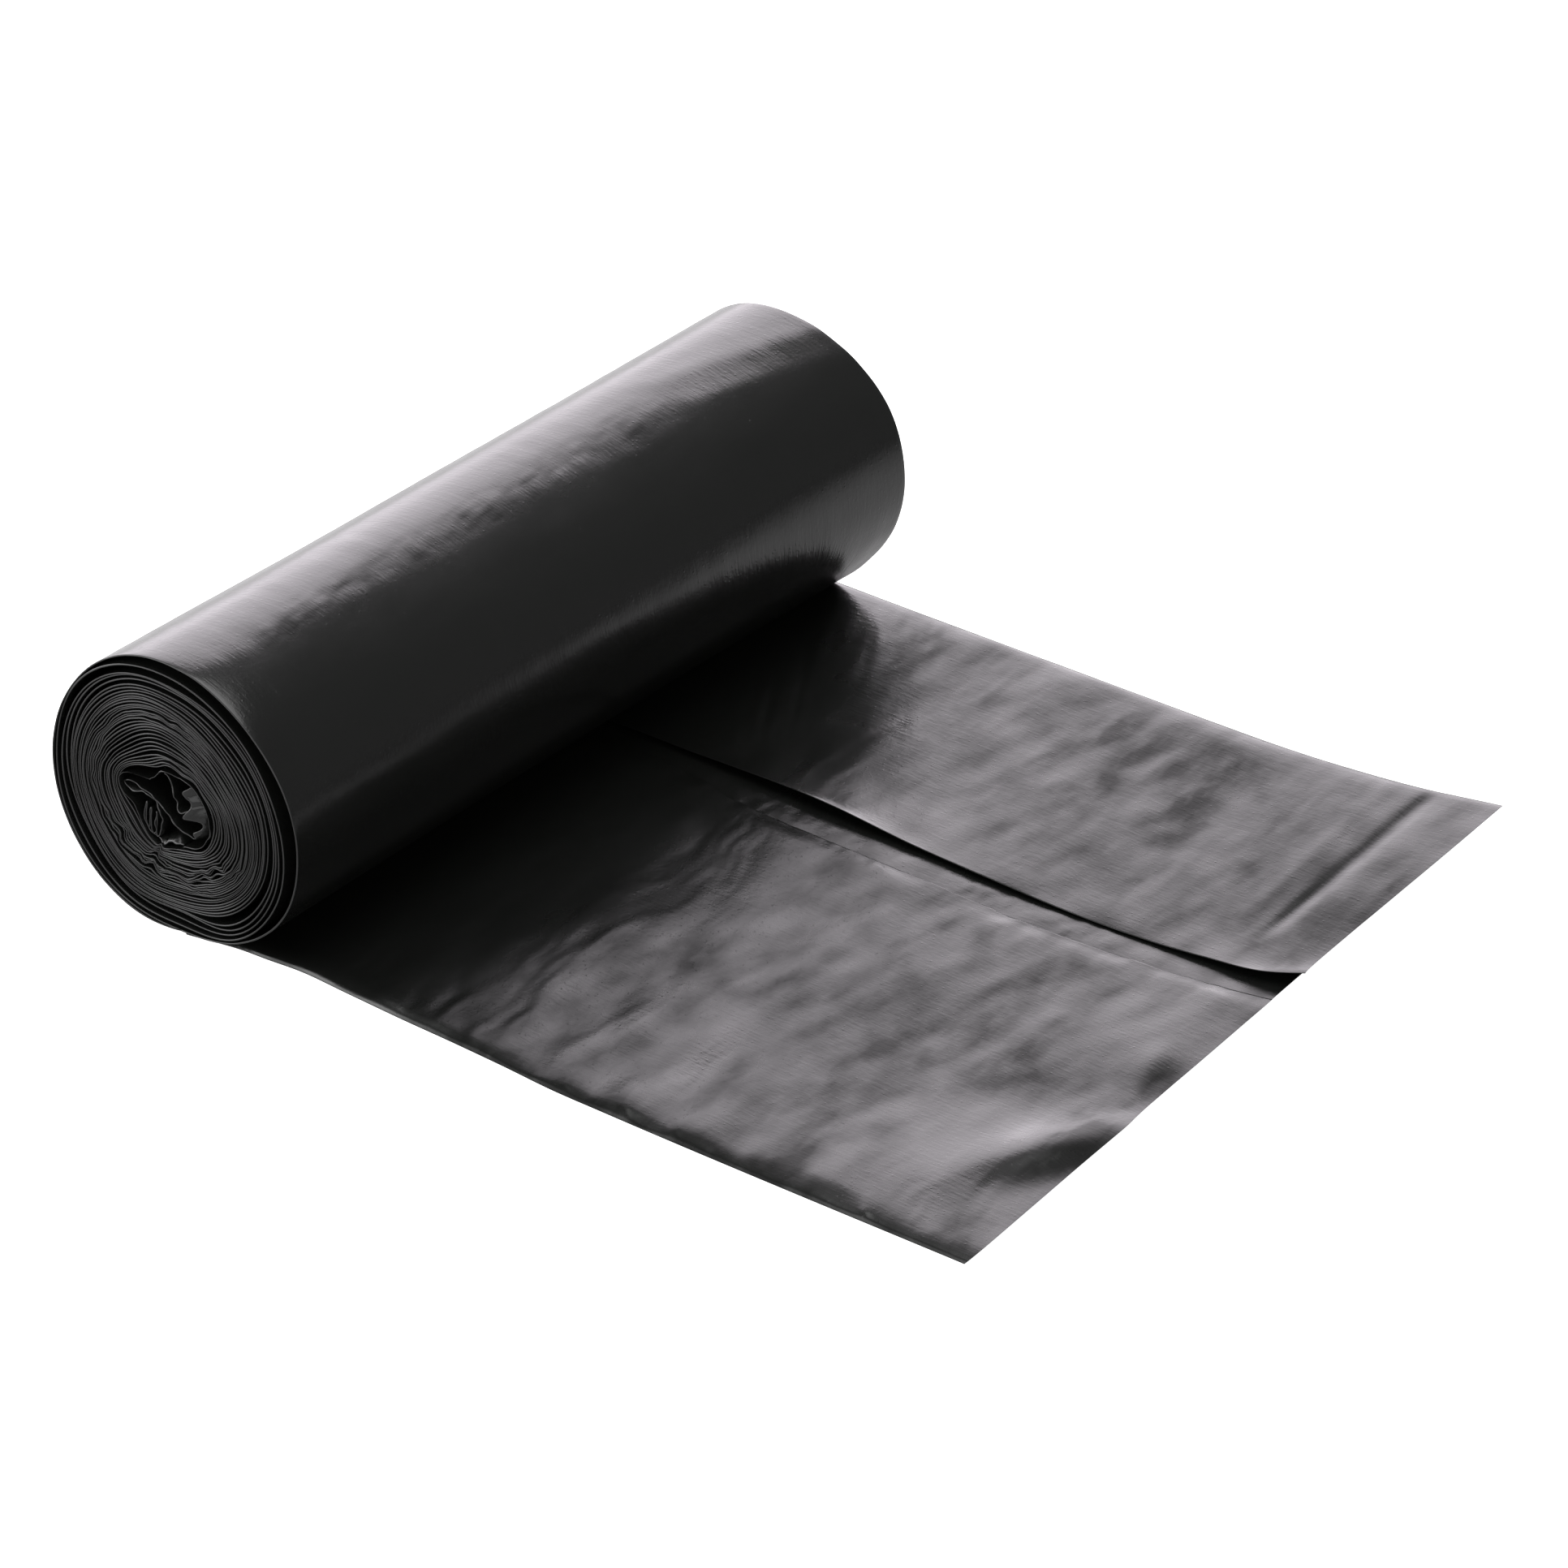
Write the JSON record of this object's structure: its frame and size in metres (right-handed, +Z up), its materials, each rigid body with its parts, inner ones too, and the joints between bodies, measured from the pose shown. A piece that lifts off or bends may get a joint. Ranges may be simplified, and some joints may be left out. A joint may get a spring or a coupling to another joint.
{
  "type": "bin bag roll",
  "caption": "Coreless roll of folded black refuse sacks lying on a floor, with the first sack drawn out as a flat tail whose two flaps nearly meet.",
  "frame": {"origin": "on the floor, under the middle of the roll's axis", "axes": "+X along the roll's axis towards the edge of the web whose corner curls up, -Y along the drawn-out tail, +Z up"},
  "size_m": [0.354, 0.4086, 0.112],
  "materials": {
    "black_film": "glossy"
  },
  "bodies": {
    "root": {"bag_roll": "black_film"}
  },
  "joints": []
}
